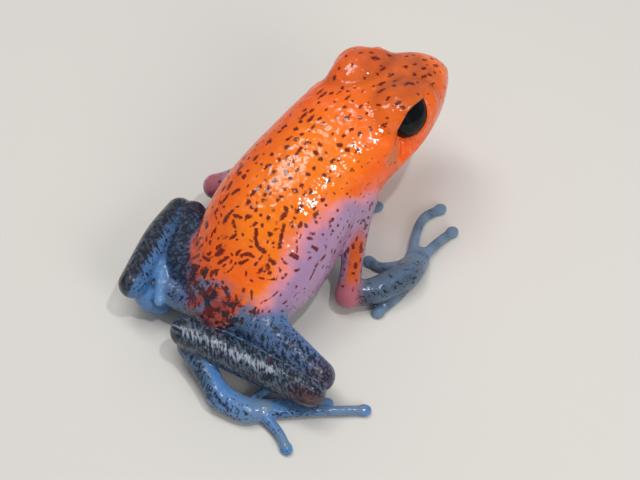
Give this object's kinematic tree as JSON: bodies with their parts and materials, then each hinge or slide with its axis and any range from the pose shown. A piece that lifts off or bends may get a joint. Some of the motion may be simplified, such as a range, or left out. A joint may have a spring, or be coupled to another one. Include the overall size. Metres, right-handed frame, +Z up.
{
  "type": "frog figure",
  "caption": "Life-size still model of a small poison dart frog, sitting with its head raised and its legs folded, orange with blue legs.",
  "frame": {"origin": "middle of the model's box, on the floor that the hands and feet rest on", "axes": "+Z up; -Y the way the frog faces; +X the frog's left"},
  "size_m": [0.0188, 0.025, 0.0101],
  "materials": {
    "orange_skin": "wet, finely granular orange skin with dark red dots",
    "shoulder_skin": "wet orange skin that turns violet grey at its edges",
    "slate_skin": "wet slate-blue skin with fine dark dots",
    "navy_skin": "wet navy skin with black mottling",
    "blue_skin": "wet light blue skin",
    "eye": "polished black"
  },
  "bodies": {
    "root": {"head": "orange_skin", "torso": "orange_skin", "eye_left": "eye", "eye_right": "eye", "upper_arm_left": "shoulder_skin", "forearm_left": "slate_skin", "hand_left": "blue_skin", "thigh_left": "navy_skin", "shank_left": "navy_skin", "tarsus_left": "blue_skin", "foot_left": "blue_skin", "upper_arm_right": "shoulder_skin", "forearm_right": "slate_skin", "hand_right": "blue_skin", "thigh_right": "navy_skin", "shank_right": "navy_skin", "tarsus_right": "blue_skin", "foot_right": "blue_skin"}
  },
  "joints": []
}
